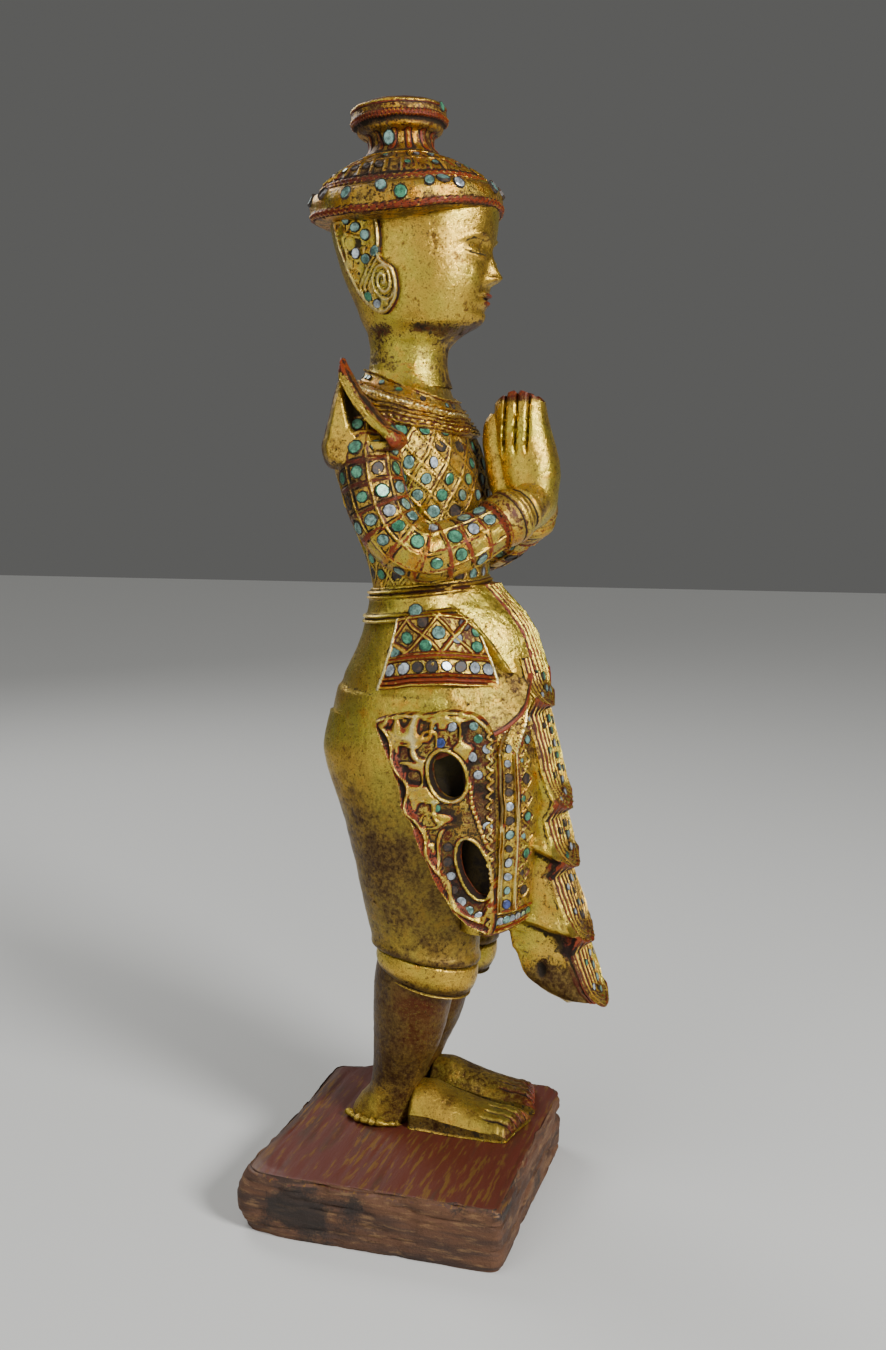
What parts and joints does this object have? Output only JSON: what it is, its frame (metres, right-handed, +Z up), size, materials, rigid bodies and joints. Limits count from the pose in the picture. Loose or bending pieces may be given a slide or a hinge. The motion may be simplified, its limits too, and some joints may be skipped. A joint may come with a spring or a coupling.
{
  "type": "praying angel statue",
  "caption": "Standing angel carved in wood with palms joined, gilded red lacquer and glass inlay, on a square plank base.",
  "frame": {"origin": "centre of the plank's flat underside, which stands on the surface", "axes": "+Z up; the figure faces -Y; its right arm is on the -X side, its left arm on the +X side"},
  "size_m": [0.1521, 0.1522, 0.4953],
  "materials": {
    "gilded_lacquer": "worn gold leaf over red lacquer on carved wood",
    "worn_teak": "weathered plank, red lacquer on top"
  },
  "bodies": {
    "root": {"figure": "gilded_lacquer", "base": "worn_teak"}
  },
  "joints": []
}
